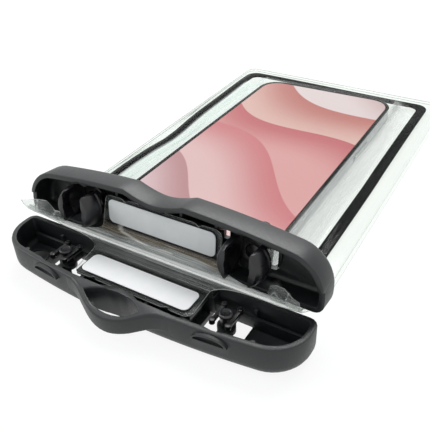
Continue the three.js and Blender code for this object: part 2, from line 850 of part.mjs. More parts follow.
// Black frame between the films, open at the mouth.
function bagBorder() {
  const half = borderWidth / 2;
  const inner = half - borderStrip;
  const start = rearY + borderStart;
  const end = rearY + borderEnd;
  const foot = film + seat;
  const corner = borderCorner - 2;
  const outer = [
    new THREE.Vector2(bagX - half, start),
    new THREE.Vector2(bagX + half, start),
    ...arc(bagX + half - borderCorner, end - borderCorner, borderCorner, 0, 1, 6),
    ...arc(bagX - half + borderCorner, end - borderCorner, borderCorner, 1, 2, 6),
  ];
  const openEnd = start - 2 * corner;
  const hollow = roundedRectangle(bagX - inner, bagX + inner, openEnd, end - borderStrip, corner);
  return prism(outer, foot, foot + borderThickness).subtract(prism(hollow, 0, foot + 2 * borderThickness));
}

// Film that rides on the upper jaw: its tab, the band by the hinge and an ear at each end.
function upperMouthFilm() {
  const tabZ = upperShelfFace - seat - film;
  const bandZ = upperRim + filmRelief - seat - 2 * film;
  const profile = [
    [rearY - tabReach - 1, tabZ], [rearY - tabFrom, tabZ], [rearY - tabFrom + 0.8, bandZ], [rearY, bandZ],
  ];
  const hem = rearY - 0.05;
  const mouth = prism(mouthPlan(hem), 0, upperTop);
  const sheet = alongX(thickened(profile, film), -bagWidth, bagWidth).intersect(mouth);
  const earFoot = rearY - earHeight;
  const leftEar = roundedRectangle(mouthLeft, mouthLeft + leftEarLength, earFoot, hem, earCorner);
  const rightEar = roundedRectangle(mouthRight - rightEarLength, mouthRight, earFoot, hem, earCorner);
  return joined([sheet, prism(leftEar, bandZ, bandZ + film), prism(rightEar, bandZ, bandZ + film)]);
}

function label(z) {
  const half = labelWidth / 2;
  const near = rearY - labelFrom;
  const shape = roundedRectangle(-half, half, near - labelHeight, near, labelCorner);
  return prism(shape, z, z + film);
}

// Phone

function phoneOutline(inset) {
  const half = phoneWidth / 2 - inset;
  const y0 = rearY + phoneFrom + inset;
  const y1 = rearY + phoneFrom + phoneLength - inset;
  return roundedRectangle(phoneX - half, phoneX + half, y0, y1, phoneCorner - inset);
}

function roundedSlab(z0, z1, edge) {
  const section = (inset, z) => ({ points: phoneOutline(inset), z });
  const bottom = rounding(edge, 3).map(({ inset, rise }) => section(inset, z0 + rise));
  const top = rounding(edge, 3).reverse().map(({ inset, rise }) => section(inset, z1 - rise));
  return loft([...bottom, ...top]);
}

function phoneBody() {
  const slab = roundedSlab(phoneZ + glassThickness + seam, phoneTop - glassThickness - seam, phoneEdge);
  const right = phoneX + phoneWidth / 2;
  const middle = phoneZ + phoneThickness / 2;
  const keyShape = new THREE.Shape(
    roundedRectangle(-keyLength / 2, keyLength / 2, -keyWidth / 2, keyWidth / 2, keyWidth / 2 - 0.1),
  );
  const key = new THREE.ExtrudeGeometry(keyShape, { depth: keyStand + 1, bevelEnabled: false });
  key.rotateX(Math.PI / 2);
  key.rotateZ(Math.PI / 2);
  key.translate(right - 1, rearY + keyFrom + keyLength / 2, middle);
  return slab.add(solid(key));
}

function phoneFrontGlass() {
  const z0 = phoneTop - glassThickness;
  const slab = prism(phoneOutline(glassInset), z0, phoneTop);
  return slab.subtract(prism(phoneOutline(bezel), phoneTop - displayDepth, phoneTop + 1));
}

function phoneDisplay() {
  return prism(phoneOutline(bezel + seam), phoneTop - displayDepth + seam, phoneTop - 0.02);
}

function phoneBackGlass() {
  return prism(phoneOutline(glassInset), phoneZ, phoneZ + glassThickness);
}

// Assembly

function material(color, roughness, metalness = 0, opacity = 1) {
  return new THREE.MeshStandardMaterial({ color, roughness, metalness, opacity, transparent: opacity < 1 });
}

const blackPlastic = material(0x34383a, 0.45);
const knobPlastic = material(0x2c2c30, 0.35);
const sealRubber = material(0x26282a, 0.6);
const clearFilm = material(0xdfe6e2, 0.12, 0, 0.35);
const borderBlack = material(0x121314, 0.25);
const whiteLabel = material(0xf2f3f4, 0.7);
const silverFrame = material(0xc9cbce, 0.3, 0.9);
const blackGlass = material(0x0c0c0e, 0.08);
const displayPink = material(0xe4b9bd, 0.2);
const backGlass = material(0xd8c2c4, 0.2);

function addPart(group, name, manifold, finish) {
  const { numProp, vertProperties, triVerts } = manifold.getMesh();
  const geometry = new THREE.BufferGeometry();
  const positions = new Float32Array((vertProperties.length / numProp) * 3);
  for (let i = 0; i < positions.length / 3; i += 1) {
    positions.set(vertProperties.subarray(i * numProp, i * numProp + 3), i * 3);
  }
  geometry.setAttribute('position', new THREE.BufferAttribute(positions, 3));
  geometry.setIndex(new THREE.BufferAttribute(new Uint32Array(triVerts), 1));
  geometry.computeVertexNormals();
  const mesh = new THREE.Mesh(geometry, finish);
  mesh.name = name;
  group.add(mesh);
}

const pouch = new THREE.Group();

addPart(pouch, 'lower_jaw', lowerJaw(), blackPlastic);
addPart(pouch, 'lower_seal_strip', sealStrip(lowerLedge + seat, 1), sealRubber);
addPart(pouch, 'left_lock_pin', lockPin(-lockX), knobPlastic);
addPart(pouch, 'right_lock_pin', lockPin(lockX), knobPlastic);
addPart(pouch, 'bag_bottom_film', bottomFilm(), clearFilm);
addPart(pouch, 'bag_top_film', topFilm(), clearFilm);
addPart(pouch, 'bag_border', bagBorder(), borderBlack);
addPart(pouch, 'lower_label', label(lowerShelfTop + 2 * seat + film), whiteLabel);
addPart(pouch, 'phone_body', phoneBody(), silverFrame);
addPart(pouch, 'phone_front_glass', phoneFrontGlass(), blackGlass);
addPart(pouch, 'phone_display', phoneDisplay(), displayPink);
addPart(pouch, 'phone_back_glass', phoneBackGlass(), backGlass);

const hinge = new THREE.Group();
hinge.position.set(0, hingeY, hingeZ);
hinge.rotation.x = -openAngle;
pouch.add(hinge);

const upper = new THREE.Group();
upper.position.set(0, -hingeY, -hingeZ);
hinge.add(upper);

addPart(upper, 'upper_jaw', upperJaw(), blackPlastic);
addPart(upper, 'upper_seal_strip', sealStrip(upperLedge - seat, -1), sealRubber);
addPart(upper, 'upper_mouth_film', upperMouthFilm(), clearFilm);
addPart(upper, 'upper_label', label(upperShelfFace - 2 * seat - 2 * film), whiteLabel);
addPart(upper, 'left_lock_hook', lockHook(-lockX), knobPlastic);
addPart(upper, 'right_lock_hook', lockHook(lockX), knobPlastic);
addPart(upper, 'left_lock_knob', lockKnob(-lockX), knobPlastic);
addPart(upper, 'right_lock_knob', lockKnob(lockX), knobPlastic);

export default pouch;
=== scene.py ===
# Waterproof phone pouch: a clear film bag with a phone in it, its mouth held by an open two-jaw clamp.
# Metres, +Z up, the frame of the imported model.
import json
import math

import bpy
import numpy as np
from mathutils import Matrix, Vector, geometry, noise


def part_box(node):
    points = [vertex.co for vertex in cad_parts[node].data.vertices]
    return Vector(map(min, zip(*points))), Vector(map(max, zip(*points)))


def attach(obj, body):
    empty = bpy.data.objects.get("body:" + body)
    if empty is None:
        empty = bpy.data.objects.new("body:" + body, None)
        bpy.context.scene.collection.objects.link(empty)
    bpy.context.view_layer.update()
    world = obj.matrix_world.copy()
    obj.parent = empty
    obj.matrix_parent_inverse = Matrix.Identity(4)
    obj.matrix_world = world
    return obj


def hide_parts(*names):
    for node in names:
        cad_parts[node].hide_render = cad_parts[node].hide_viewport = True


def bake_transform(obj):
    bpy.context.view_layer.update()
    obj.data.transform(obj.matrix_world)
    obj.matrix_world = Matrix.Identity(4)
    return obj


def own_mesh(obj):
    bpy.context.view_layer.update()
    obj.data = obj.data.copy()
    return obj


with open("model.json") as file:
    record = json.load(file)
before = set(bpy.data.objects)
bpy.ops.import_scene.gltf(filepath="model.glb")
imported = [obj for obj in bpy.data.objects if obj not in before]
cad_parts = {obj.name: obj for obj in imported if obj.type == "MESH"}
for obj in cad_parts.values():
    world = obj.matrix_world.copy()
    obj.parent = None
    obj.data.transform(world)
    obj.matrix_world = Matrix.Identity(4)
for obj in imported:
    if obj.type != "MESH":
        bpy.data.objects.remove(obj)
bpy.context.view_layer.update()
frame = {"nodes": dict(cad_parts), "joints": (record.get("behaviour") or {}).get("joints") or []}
MM = 0.001

# Camera
# A normal lens above the clamp's front right, looking down along the bag and to the left.
# Place and lens come from the straight edges of the phone, the border and the jaws.
camera_data = bpy.data.cameras.new("camera")
camera_data.sensor_fit = "HORIZONTAL"
camera_data.sensor_width = 36.0
camera_data.lens = 48.04
camera_data.clip_start = 0.01
camera = bpy.data.objects.new("camera", camera_data)
camera.location = (0.095901, -0.102869, 0.130778)
camera.rotation_euler = (math.radians(55.16), math.radians(2.193), math.radians(31.149))
bpy.context.scene.collection.objects.link(camera)
bpy.context.scene.camera = camera


# Studio light
# A white room with a broad soft box overhead and behind, and a weaker one at the left.
# The room lights at a plain level, and shows white to the lens, in reflections and through film.
def linear(code):
    """An sRGB hex colour as linear red, green, blue and alpha."""
    parts = [int(code[i : i + 2], 16) / 255 for i in (0, 2, 4)]
    return (*[c / 12.92 if c <= 0.04045 else ((c + 0.055) / 1.055) ** 2.4 for c in parts], 1.0)


def add_node(tree, kind, settings=None, **links):
    """A node with its properties, its inputs' values, and its inputs' links, by socket name or number."""
    made = tree.nodes.new(kind)
    for key, value in (settings or {}).items():
        if isinstance(key, str) and hasattr(made, key):
            setattr(made, key, value)
        else:
            made.inputs[key].default_value = value
    for name, source in links.items():
        place = int(name[1:]) if name[0] == "i" and name[1:].isdigit() else name.replace("_", " ")
        tree.links.new(source, made.inputs[place])
    return made


def emptied(holder):
    """The node tree of a material or world, with no nodes in it."""
    holder.use_nodes = True
    holder.node_tree.nodes.clear()
    return holder.node_tree


def seen_rays(tree):
    """1 for rays from the lens, through clear film and off gloss, and 0 for all others."""
    path = add_node(tree, "ShaderNodeLightPath")
    straight = add_node(
        tree, "ShaderNodeMath", {"operation": "MAXIMUM"},
        i0=path.outputs["Is Camera Ray"], i1=path.outputs["Is Transmission Ray"],
    )
    seen = add_node(
        tree, "ShaderNodeMath", {"operation": "MAXIMUM"},
        i0=straight.outputs[0], i1=path.outputs["Is Glossy Ray"],
    )
    return seen.outputs[0]


ROOM_LIGHT = 0.55
LAMP_AIM = Vector((0, 0.05, 0))
world = bpy.data.worlds.new("studio")
bpy.context.scene.world = world
tree = emptied(world)
room = add_node(tree, "ShaderNodeBackground", {"Color": linear("F4F6F6"), "Strength": ROOM_LIGHT})
white = add_node(tree, "ShaderNodeBackground", {"Color": (1, 1, 1, 1), "Strength": 1.0})
mixed = add_node(
    tree, "ShaderNodeMixShader", None, i0=seen_rays(tree), i1=room.outputs[0], i2=white.outputs[0]
)
add_node(tree, "ShaderNodeOutputWorld", None, Surface=mixed.outputs[0])


def soft_box(name, place, width, depth, power):
    """A rectangular lamp that points at the object's middle."""
    lamp = bpy.data.lights.new(name, "AREA")
    lamp.shape = "RECTANGLE"
    lamp.size = width
    lamp.size_y = depth
    lamp.energy = power
    holder = bpy.data.objects.new(name, lamp)
    holder.location = place
    holder.rotation_euler = (LAMP_AIM - Vector(place)).to_track_quat("-Z", "Y").to_euler()
    bpy.context.scene.collection.objects.link(holder)


soft_box("key_box", (-0.1, 0.55, 0.75), 0.7, 0.5, 7.0)
soft_box("side_box", (-0.75, -0.2, 0.5), 0.4, 0.4, 2.5)
bpy.context.scene.view_settings.view_transform = "Standard"


# Floor
# A sheet of white studio card under the object, which throws its light back up at it.
# To the lens most of its white is its own, so that the object's shadow stays on it but faint.
FLOOR_OWN_WHITE = 0.88
FLOOR_WIDTH = 6.0
FLOOR_GAP = 0.2 * MM
bpy.ops.object.select_all(action="DESELECT")
bpy.ops.mesh.primitive_plane_add(size=FLOOR_WIDTH, location=(0, 0, -FLOOR_GAP))
floor = bpy.context.object
floor.name = "floor"
card_white = bpy.data.materials.new("studio_card")
tree = emptied(card_white)
card = add_node(tree, "ShaderNodeBsdfDiffuse", {"Color": linear("E4E7E5")})
shaded = add_node(tree, "ShaderNodeBsdfDiffuse", {"Color": linear("686C6A")})
lit = add_node(
    tree, "ShaderNodeEmission", {"Color": (1, 1, 1, 1), "Strength": FLOOR_OWN_WHITE}
)
both = add_node(tree, "ShaderNodeAddShader", None, i0=shaded.outputs[0], i1=lit.outputs[0])
whole = add_node(
    tree, "ShaderNodeMixShader", None, i0=seen_rays(tree), i1=card.outputs[0], i2=both.outputs[0]
)
add_node(tree, "ShaderNodeOutputMaterial", None, Surface=whole.outputs[0])
floor.data.materials.append(card_white)


# Jaws
# Two injection-moulded ABS trays with ribs, windows and a finger loop, satin outside.
# Each moulded edge has a small radius; the two trays are held together only by the film.
JAW_EDGE = 0.18 * MM
SHARP = math.radians(32)
DUPLICATE = 0.001 * MM
FLAT = math.radians(0.6)
CLOUD = 6.0 * MM
NOISE_SPAN = {"From Min": 0.3, "From Max": 0.7}


def eased(value, start, end):
    """0 at start and 1 at end, with soft ends."""
    t = min(max((value - start) / (end - start), 0.0), 1.0)
    return t * t * (3 - 2 * t)


def select_only(piece):
    bpy.ops.object.select_all(action="DESELECT")
    piece.select_set(True)
    bpy.context.view_layer.objects.active = piece


def finished_copy(name, node, edge, body, finish, segments=2):
    """The CAD node as one clean mesh with its edges rounded, in place of the node."""
    source = frame["nodes"][node]
    piece = bpy.data.objects.new(name, source.data.copy())
    bpy.context.scene.collection.objects.link(piece)
    piece.data.materials.clear()
    select_only(piece)
    bpy.ops.mesh.customdata_custom_splitnormals_clear()
    bpy.ops.object.mode_set(mode="EDIT")
    bpy.ops.mesh.select_all(action="SELECT")
    bpy.ops.mesh.remove_doubles(threshold=DUPLICATE)
    bpy.ops.mesh.dissolve_limited(angle_limit=FLAT)
    bpy.ops.object.mode_set(mode="OBJECT")
    if edge > 0:
        bevel = piece.modifiers.new("edge", "BEVEL")
        bevel.width = edge
        bevel.segments = segments
        bevel.limit_method = "ANGLE"
        bevel.angle_limit = SHARP
        bevel.use_clamp_overlap = True
        bpy.ops.object.modifier_apply(modifier="edge")
    bpy.ops.object.shade_smooth_by_angle(angle=SHARP)
    piece.data.materials.append(finish)
    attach(piece, body)
    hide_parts(node)
    return piece


def mottled(tree, place, dark, light):
    """A colour that drifts from dark to light in soft clouds."""
    cloud = add_node(tree, "ShaderNodeTexNoise", {"Scale": 1 / CLOUD, "Detail": 3.0}, Vector=place)
    mottle = add_node(tree, "ShaderNodeMapRange", NOISE_SPAN, Value=cloud.outputs[0])
    colour = add_node(
        tree, "ShaderNodeMix", {"data_type": "RGBA", 6: linear(dark), 7: linear(light)},
        i0=mottle.outputs[0],
    )
    return colour.outputs[2]


def moulded(name, dark, light, rough, grain_mm, bump, shine=0.5):
    """Moulded plastic: a fine spark-eroded grain, cloudy colour and small changes of sheen."""
    finish = bpy.data.materials.new(name)
    tree = emptied(finish)
    place = add_node(tree, "ShaderNodeTexCoord").outputs["Object"]
    grain = add_node(
        tree, "ShaderNodeTexNoise", {"Scale": 1 / (grain_mm * MM), "Detail": 2.0, "Roughness": 0.6},
        Vector=place,
    )
    sheen = add_node(
        tree, "ShaderNodeMapRange",
        {**NOISE_SPAN, "To Min": max(rough - 0.06, 0.02), "To Max": rough + 0.08},
        Value=grain.outputs[0],
    )
    skin = add_node(
        tree, "ShaderNodeBump", {"Strength": bump, "Distance": 0.05 * MM}, Height=grain.outputs[0]
    )
    shader = add_node(
        tree, "ShaderNodeBsdfPrincipled", {"IOR": 1.53, "Specular IOR Level": shine},
        Base_Color=mottled(tree, place, dark, light), Normal=skin.outputs[0],
        Roughness=sheen.outputs[0],
    )
    add_node(tree, "ShaderNodeOutputMaterial", None, Surface=shader.outputs[0])
    return finish


satin_abs = moulded("satin_moulded_abs", "111416", "191D1F", 0.42, 0.5, 0.4)
lower_shell = finished_copy("lower_shell", "lower_jaw", JAW_EDGE, "base", satin_abs)

# The finger loop's bar hangs a little below the rim, so that a finger slips in from above.
LOOP_MIDDLE = -2.0
LOOP_HALF = 20.0
LOOP_ROOT = -10.4
FRONT_BOW = 3.0
BOW_HALF = 45.0
LOOP_BEND = 4.0
LOOP_SAG = 3.2
LOOP_DRAW = 0.16
for corner in lower_shell.data.vertices:
    x, y, z = corner.co / MM
    front = LOOP_ROOT + FRONT_BOW * (x / BOW_HALF) ** 2
    reach = front - y
    if reach > 0 and abs(x - LOOP_MIDDLE) < LOOP_HALF:
        swell = (1 + math.cos(math.pi * (x - LOOP_MIDDLE) / LOOP_HALF)) / 2
        hang = eased(reach, 0, LOOP_BEND) * swell
        corner.co = (x * MM, (y + LOOP_DRAW * reach * swell) * MM, (z - LOOP_SAG * hang) * MM)
finished_copy("upper_shell", "upper_jaw", JAW_EDGE, "clamp_lid", satin_abs)

# Turn locks
# Each lock is a split hook inside the upper jaw on the spigot of a thumb knob outside it.
# It catches the two wings of a headed pin in the lower jaw; all are smooth black acetal.
acetal = moulded("smooth_black_acetal", "121216", "18181C", 0.3, 6.0, 0.05)
for side in ("left", "right"):
    finished_copy(
        f"{side}_hook", f"{side}_lock_hook", 0.15 * MM, f"{side}_lock", acetal
    )
    finished_copy(
        f"{side}_knob", f"{side}_lock_knob", 0.2 * MM, f"{side}_lock", acetal
    )
    finished_copy(f"{side}_pin", f"{side}_lock_pin", 0.12 * MM, "base", acetal)

# Seal strips
# Two extruded rubber combs that pinch the film between them along the clamp's middle.
ribbed_rubber = moulded("black_seal_rubber", "101112", "181A1B", 0.45, 0.6, 0.2)
finished_copy("lower_seal", "lower_seal_strip", 0.05 * MM, "base", ribbed_rubber)
finished_copy("upper_seal", "upper_seal_strip", 0.05 * MM, "clamp_lid", ribbed_rubber)

# Welded border
# A black film frame between the two clear sheets, welded to both; open at the mouth.
# The sheets pull it up off the table beside and beyond the phone, and its left side is wavy.
phone_low, phone_high = [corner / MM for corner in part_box("phone_front_glass")]
border_low, border_high = [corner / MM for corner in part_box("bag_border")]
LEFT_RISE = [
    (30, 2.0), (69, 2.3), (83, 1.8), (90, 1.2), (98, 0.5), (107, 0.7), (118, 1.7), (128, 2.3),
    (149, 2.7), (173, 3.3), (195, 3.0),
]
RIGHT_RISE = [(30, 0.0), (100, 0.0), (115, 0.7), (135, 1.1), (160, 1.5), (195, 1.4)]
GLASS_INSET = 0.9


def beyond_phone(x, y):
    """How far a point of the plan lies outside the phone, in mm; below 0 over it."""
    beside = abs(x - (phone_low.x + phone_high.x) / 2) - (phone_high.x - phone_low.x) / 2
    return max(beside, y - phone_high.y) - GLASS_INSET


def seam_rise(x, y):
    """How far the welded seam and the sheets by it are lifted off the table, in mm."""
    along = [np.interp(y, *zip(*side)) for side in (LEFT_RISE, RIGHT_RISE)]
    share = eased(x, border_low.x, border_high.x)
    return float(along[0] * (1 - share) + along[1] * share) * eased(beyond_phone(x, y), 0.5, 6.0)


black_film = moulded("black_welded_film", "040405", "070809", 0.4, 3.0, 0.1, 0.02)
border = finished_copy("welded_border", "bag_border", 0.25 * MM, "base", black_film, 3)

# The strips are cut across so that they can bend.
CUT_ALONG = 5.0
CUT_ACROSS = 8.0
select_only(border)
bpy.ops.object.mode_set(mode="EDIT")
for y in np.arange(border_low.y + CUT_ALONG, border_high.y, CUT_ALONG):
    bpy.ops.mesh.select_all(action="SELECT")
    bpy.ops.mesh.bisect(plane_co=(0, y * MM, 0), plane_no=(0, 1, 0))
for x in np.arange(border_low.x + CUT_ACROSS, border_high.x, CUT_ACROSS):
    bpy.ops.mesh.select_all(action="SELECT")
    bpy.ops.mesh.bisect(plane_co=(x * MM, 0, 0), plane_no=(1, 0, 0))
bpy.ops.object.mode_set(mode="OBJECT")
for corner in border.data.vertices:
    corner.co.z += seam_rise(corner.co.x / MM, corner.co.y / MM) * MM


# Labels
# Plain matt white paper stickers with rounded corners, one on each film tab.
# The upper one faces away from the light, and its darker colours are painted shade.
def sticker(name, dark, light):
    """Coated paper with fine fibres in it."""
    finish = bpy.data.materials.new(name)
    tree = emptied(finish)
    place = add_node(tree, "ShaderNodeTexCoord").outputs["Object"]
    fibre = add_node(
        tree, "ShaderNodeTexNoise", {"Scale": 1 / (0.6 * MM), "Detail": 3.0}, Vector=place
    )
    skin = add_node(
        tree, "ShaderNodeBump", {"Strength": 0.15, "Distance": 0.03 * MM}, Height=fibre.outputs[0]
    )
    shader = add_node(
        tree, "ShaderNodeBsdfPrincipled", {"IOR": 1.5, "Roughness": 0.55},
        Base_Color=mottled(tree, place, dark, light), Normal=skin.outputs[0],
    )
    add_node(tree, "ShaderNodeOutputMaterial", None, Surface=shader.outputs[0])
    return finish


label_white = sticker("matt_white_label", "F3F5F7", "FAFBFC")
# The upper label is the lower one's white made darker: painted shade.
label_painted_shade = sticker("white_label_painted_shade", "DBDEE0", "E4E6E8")
finished_copy("lower_sticker", "lower_label", 0.06 * MM, "base", label_white)
finished_copy("upper_sticker", "upper_label", 0.06 * MM, "clamp_lid", label_painted_shade)


# Phone
# A plain slab phone lies loose in the bag: a satin aluminium frame, black cover glass with a
# lit screen under it, and a pale glass back.
def satin_metal():
    """Fine blasted and anodised aluminium, its sheen a little uneven."""
    finish = bpy.data.materials.new("satin_anodised_aluminium")
    tree = emptied(finish)
    place = add_node(tree, "ShaderNodeTexCoord").outputs["Object"]
    blast = add_node(
        tree, "ShaderNodeTexNoise", {"Scale": 1 / (0.4 * MM), "Detail": 2.0}, Vector=place
    )
    sheen = add_node(
        tree, "ShaderNodeMapRange", {**NOISE_SPAN, "To Min": 0.24, "To Max": 0.36},
        Value=blast.outputs[0],
    )
    skin = add_node(
        tree, "ShaderNodeBump", {"Strength": 0.1, "Distance": 0.02 * MM}, Height=blast.outputs[0]
    )
    shader = add_node(
        tree, "ShaderNodeBsdfPrincipled", {"Metallic": 1.0, "Base Color": linear("D2D4D6")},
        Normal=skin.outputs[0], Roughness=sheen.outputs[0],
    )
    add_node(tree, "ShaderNodeOutputMaterial", None, Surface=shader.outputs[0])
    return finish


def screen_glow():
    """Soft diagonal waves in blush, rose and coral, lit from behind.

    Each wave has its level along the screen, its angle per metre, swing, phase and depth of
    shading, in metres and radians, and its colours at the crest and further down.
    """
    finish = bpy.data.materials.new("lit_screen")
    tree = emptied(finish)
    place = add_node(tree, "ShaderNodeTexCoord").outputs["Object"]
    turned = add_node(
        tree, "ShaderNodeMapping", {"Rotation": (0, 0, math.radians(28))}, Vector=place
    )
    spot = add_node(tree, "ShaderNodeSeparateXYZ", None, Vector=turned.outputs[0])
    across, along = spot.outputs[0], spot.outputs[1]
    waves = [
        (0.175, 50, 0.0080, 0.3, 0.030, "C9A3A2", "EBD9DA"),
        (0.146, 44, 0.0130, 1.9, 0.034, "C46A62", "E9BDB4"),
        (0.110, 56, 0.0100, 3.1, 0.030, "CB5F66", "E7A6A6"),
        (0.076, 46, 0.0120, 4.6, 0.032, "D7787E", "EDC4C4"),
        (0.044, 58, 0.0090, 5.9, 0.026, "C58D92", "EBCDD2"),
    ]
    shade = None
    for level, pitch, swing, phase, depth, deep, pale in waves:
        angle = add_node(
            tree, "ShaderNodeMath", {"operation": "MULTIPLY_ADD", 1: pitch, 2: phase}, i0=across
        )
        sine = add_node(tree, "ShaderNodeMath", {"operation": "SINE"}, i0=angle.outputs[0])
        crest = add_node(
            tree, "ShaderNodeMath", {"operation": "MULTIPLY_ADD", 1: swing, 2: level},
            i0=sine.outputs[0],
        )
        below = add_node(
            tree, "ShaderNodeMath", {"operation": "SUBTRACT"}, i0=crest.outputs[0], i1=along
        )
        fade = add_node(
            tree, "ShaderNodeMapRange", {"From Max": depth, "interpolation_type": "SMOOTHSTEP"},
            Value=below.outputs[0],
        )
        tint = add_node(
            tree, "ShaderNodeMix", {"data_type": "RGBA", 6: linear(deep), 7: linear(pale)},
            i0=fade.outputs[0],
        )
        if shade is None:
            shade = tint.outputs[2]
            continue
        inside = add_node(
            tree, "ShaderNodeMapRange", {"From Max": 0.0004}, Value=below.outputs[0]
        )
        stacked = add_node(
            tree, "ShaderNodeMix", {"data_type": "RGBA"},
            i0=inside.outputs[0], i6=shade, i7=tint.outputs[2],
        )
        shade = stacked.outputs[2]
    shader = add_node(
        tree, "ShaderNodeBsdfPrincipled",
        {"Base Color": linear("0A0A0A"), "IOR": 1.5, "Roughness": 0.15, "Emission Strength": 0.85},
        Emission_Color=shade,
    )
    add_node(tree, "ShaderNodeOutputMaterial", None, Surface=shader.outputs[0])
    return finish


phone_black = moulded("black_cover_glass", "020203", "050506", 0.08, 6.0, 0.0, 0.08)
phone_pale = moulded("pale_back_glass", "D6C2C4", "DCCACC", 0.25, 4.0, 0.05)
finished_copy("phone_frame", "phone_body", 0, "base", satin_metal())
cover = finished_copy(
    "phone_cover_glass", "phone_front_glass", 0.1 * MM, "base", phone_black
)
screen = finished_copy("phone_screen", "phone_display", 0, "base", screen_glow())

# The cover glass reaches over the frame's rounded edge, and the screen is as much wider.
GLASS_LIP = 0.8
middle = (phone_low + phone_high) / 2
half = (phone_high - phone_low) / 2
for piece in (cover, screen):
    for corner in piece.data.vertices:
        place = corner.co / MM - middle
        corner.co.x = (middle.x + place.x * (1 + GLASS_LIP / half.x)) * MM
        corner.co.y = (middle.y + place.y * (1 + GLASS_LIP / half.y)) * MM
finished_copy("phone_back", "phone_back_glass", 0.15 * MM, "base", phone_pale)


# Clear film
# Two sheets of clear 0.3 mm TPU film, welded along their sides and end and slack at the mouth.
# Each ends in a tab stuck behind a label; the bright lines at its cut edges are painted highlights, and
# its folds catch the light by gloss and by painted highlight lines.
FILM = 0.3
TURN = math.radians(frame["joints"][0]["range_deg"][1])
HINGE = Vector(frame["joints"][0]["pos_m"]) / MM
jaw_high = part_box("lower_jaw")[1] / MM
bag_low, bag_high = [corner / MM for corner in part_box("bag_bottom_film")]
REAR = jaw_high.y
RIM = jaw_high.z
MOUTH = REAR + 1.5
MOUTH_LEFT = -60.5
MOUTH_RIGHT = 51.5
BAG_CORNER = 5.0
TAB_HALF = 22.8
TAB_STEP = REAR - 5.9
TAB_RISE = REAR - 5.1
RAMP_END = REAR + 14.5
DRAPE_END = REAR + 16.0
LOWER_BAND = RIM + 0.45
UPPER_BAND = RIM + 0.85
UPPER_TAB = RIM + 2.55
LOWER_PROFILE = [
    (TAB_STEP, 10.05), (TAB_RISE, RIM + 0.15), (REAR - 1.8, LOWER_BAND), (REAR + 0.3, LOWER_BAND),
    (MOUTH, RIM - 0.15), (RAMP_END, FILM / 2),
]


def film_finish(name, crease_size):
    """Clear film, see-through and a faint mirror at a slant.

    The sheet's own attributes give its plan (for the creases), its tint and milkiness, which hold painted
    shade and painted highlights in places, and how creased it is, which paints bright highlight lines
    along the creases. crease_size is the length of the creases along x and y in mm.
    """
    finish = bpy.data.materials.new(name)
    tree = emptied(finish)
    plan = add_node(tree, "ShaderNodeAttribute", {"attribute_name": "plan"})
    veil_and_painted_light = add_node(tree, "ShaderNodeAttribute", {"attribute_name": "veil_and_painted_light"})
    crease_glint = add_node(tree, "ShaderNodeAttribute", {"attribute_name": "crease_glint"})
    stretch = (1 / (crease_size[0] * MM), 1 / (crease_size[1] * MM), 1.0)
    laid = add_node(tree, "ShaderNodeMapping", {"Scale": stretch}, Vector=plan.outputs["Vector"])
    lines = add_node(
        tree, "ShaderNodeTexNoise", {"Scale": 1.0, "Detail": 3.0, "Roughness": 0.6},
        Vector=laid.outputs[0],
    )
    peaks = add_node(
        tree, "ShaderNodeMapRange", {"From Min": 0.56, "From Max": 0.66}, Value=lines.outputs[0]
    )
    stroke = add_node(
        tree, "ShaderNodeMapRange",
        {**NOISE_SPAN, "To Min": 0.35, "To Max": 1.4}, Value=lines.outputs[0],
    )
    # Painted highlight: where the sheet is creased, the noise's peaks are painted as bright white lines.
    painted_glint = add_node(
        tree, "ShaderNodeMath", {"operation": "MULTIPLY"},
        i0=peaks.outputs[0], i1=crease_glint.outputs["Fac"],
    )
    milk = add_node(
        tree, "ShaderNodeMath", {"operation": "MULTIPLY"},
        i0=stroke.outputs[0], i1=veil_and_painted_light.outputs["Alpha"],
    )
    white = add_node(
        tree, "ShaderNodeMath", {"operation": "MULTIPLY", 1: 0.75}, i0=painted_glint.outputs[0]
    )
    body = add_node(
        tree, "ShaderNodeMath", {"operation": "MAXIMUM"}, i0=milk.outputs[0], i1=white.outputs[0]
    )
    colour = add_node(
        tree, "ShaderNodeMix", {"data_type": "RGBA", 7: linear("FAFBFB")},
        i0=painted_glint.outputs[0], i6=veil_and_painted_light.outputs["Color"],
    )
    skin = add_node(
        tree, "ShaderNodeBump", {"Strength": 0.25, "Distance": 0.2 * MM}, Height=lines.outputs[0]
    )
    clear = add_node(tree, "ShaderNodeBsdfTransparent", {"Color": linear("FCFDFC")})
    milk_and_painted_light = add_node(
        tree, "ShaderNodeBsdfDiffuse", None, Color=colour.outputs[2], Normal=skin.outputs[0]
    )
    sheet = add_node(
        tree, "ShaderNodeMixShader", None,
        i0=body.outputs[0], i1=clear.outputs[0], i2=milk_and_painted_light.outputs[0],
    )
    gloss = add_node(
        tree, "ShaderNodeBsdfAnisotropic", {"Roughness": 0.12, "Color": (1, 1, 1, 1)},
        Normal=skin.outputs[0],
    )
    facing = add_node(tree, "ShaderNodeLayerWeight", {"Blend": 0.5}, Normal=skin.outputs[0])
    slant = add_node(
        tree, "ShaderNodeMath", {"operation": "POWER", 1: 5.0}, i0=facing.outputs["Facing"]
    )
    share = add_node(
        tree, "ShaderNodeMath", {"operation": "MULTIPLY_ADD", 1: 0.1, 2: 0.004}, i0=slant.outputs[0]
    )
    folded = add_node(
        tree, "ShaderNodeMath", {"operation": "MULTIPLY_ADD", 1: 0.08},
        i0=crease_glint.outputs["Fac"], i2=share.outputs[0],
    )
    whole = add_node(
        tree, "ShaderNodeMixShader", None,
        i0=folded.outputs[0], i1=sheet.outputs[0], i2=gloss.outputs[0],
    )
    add_node(tree, "ShaderNodeOutputMaterial", None, Surface=whole.outputs[0])
    return finish


def held(value, start, end):
    """0 at start and 1 at end, straight between."""
    return min(max((value - start) / (end - start), 0.0), 1.0)


